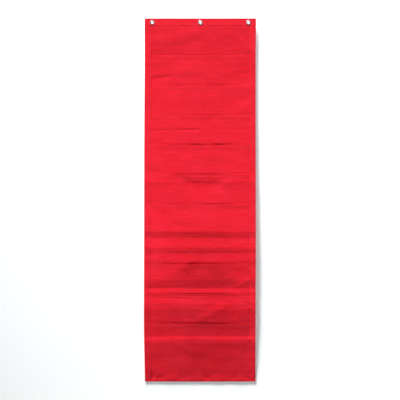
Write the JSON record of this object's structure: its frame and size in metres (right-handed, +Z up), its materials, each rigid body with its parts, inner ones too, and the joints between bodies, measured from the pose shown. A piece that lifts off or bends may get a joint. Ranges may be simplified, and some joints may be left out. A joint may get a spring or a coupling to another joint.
{
  "type": "storage pocket chart",
  "caption": "Tall hanging pocket chart of red coated nylon: shingled open-top file pockets sewn to a back panel, with bound edges and metal grommets along the folded header.",
  "frame": {"origin": "middle of the centre grommet's hole, in the plane of the wall that the chart hangs against", "axes": "+Z up along the hung chart, +X to the right as seen from the front, +Y into the wall; the pockets face -Y"},
  "size_m": [0.356, 0.0231, 1.161],
  "materials": {
    "nylon": "coated woven nylon, soft sheen",
    "binding": "folded nylon binding",
    "thread": "twisted polyester thread",
    "eyelet": "bright nickel plate",
    "washer": "nickel plate"
  },
  "bodies": {
    "root": {"back_panel": "nylon", "header_band": "nylon", "pocket_01": "nylon", "pocket_02": "nylon", "pocket_03": "nylon", "pocket_04": "nylon", "pocket_05": "nylon", "pocket_06": "nylon", "pocket_07": "nylon", "pocket_08": "nylon", "pocket_09": "nylon", "pocket_10": "nylon", "left_edge_binding": "binding", "right_edge_binding": "binding", "bottom_edge_binding": "binding", "header_thread": "thread", "bottom_seam_thread": "thread", "left_seam_thread": "thread", "left_edge_thread": "thread", "right_seam_thread": "thread", "right_edge_thread": "thread", "pocket_hem_thread_01": "thread", "pocket_hem_thread_02": "thread", "pocket_hem_thread_03": "thread", "pocket_hem_thread_04": "thread", "pocket_hem_thread_05": "thread", "pocket_hem_thread_06": "thread", "pocket_hem_thread_07": "thread", "pocket_hem_thread_08": "thread", "pocket_hem_thread_09": "thread", "pocket_hem_thread_10": "thread", "pocket_seam_thread_01": "thread", "pocket_seam_thread_02": "thread", "pocket_seam_thread_03": "thread", "pocket_seam_thread_04": "thread", "pocket_seam_thread_05": "thread", "pocket_seam_thread_06": "thread", "pocket_seam_thread_07": "thread", "pocket_seam_thread_08": "thread", "pocket_seam_thread_09": "thread", "grommet_eyelet_left": "eyelet", "grommet_eyelet_centre": "eyelet", "grommet_eyelet_right": "eyelet", "grommet_washer_left": "washer", "grommet_washer_centre": "washer", "grommet_washer_right": "washer"}
  },
  "joints": []
}
